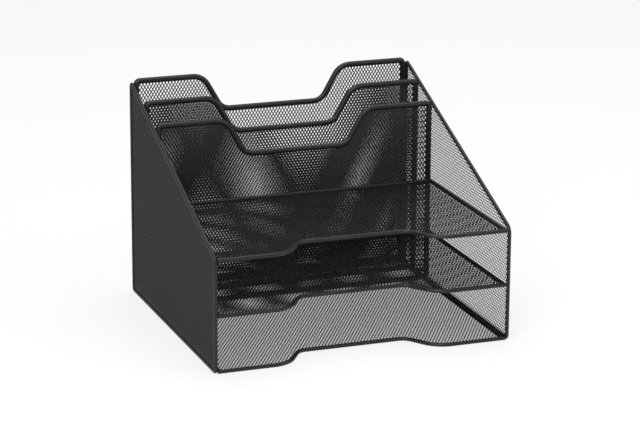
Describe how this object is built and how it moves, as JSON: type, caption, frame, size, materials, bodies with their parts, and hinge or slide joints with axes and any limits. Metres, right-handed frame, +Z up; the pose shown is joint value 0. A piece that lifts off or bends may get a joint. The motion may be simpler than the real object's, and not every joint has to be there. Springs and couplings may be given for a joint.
{
  "type": "document tray",
  "caption": "Free-standing black steel mesh document tray with open paper shelves at the front, upright folder slots behind them and sloping side panels.",
  "frame": {"origin": "middle of the footprint, on the desk that the tray stands on", "axes": "+X to the right seen from the front, +Y to the back, +Z up"},
  "size_m": [0.325, 0.292, 0.2409],
  "materials": {
    "rim_steel": "satin black powder coat",
    "mesh_steel": "satin black powder coat on expanded mesh"
  },
  "bodies": {
    "root": {"left_side_rim": "rim_steel", "right_side_rim": "rim_steel", "rear_panel_rim": "rim_steel", "middle_divider_rim": "rim_steel", "front_divider_rim": "rim_steel", "rear_panel_bottom_rail": "rim_steel", "middle_divider_bottom_rail": "rim_steel", "front_divider_bottom_rail": "rim_steel", "top_shelf_front_rim": "rim_steel", "middle_shelf_front_rim": "rim_steel", "base_front_rim": "rim_steel", "top_shelf_left_rail": "rim_steel", "top_shelf_right_rail": "rim_steel", "top_shelf_rear_rail": "rim_steel", "middle_shelf_left_rail": "rim_steel", "middle_shelf_right_rail": "rim_steel", "middle_shelf_rear_rail": "rim_steel", "base_left_rail": "rim_steel", "base_right_rail": "rim_steel", "base_rear_rail": "rim_steel", "left_side_mesh": "mesh_steel", "right_side_mesh": "mesh_steel", "rear_panel_mesh": "mesh_steel", "middle_divider_mesh": "mesh_steel", "front_divider_mesh": "mesh_steel", "top_shelf_mesh": "mesh_steel", "middle_shelf_mesh": "mesh_steel", "base_mesh": "mesh_steel"}
  },
  "joints": []
}
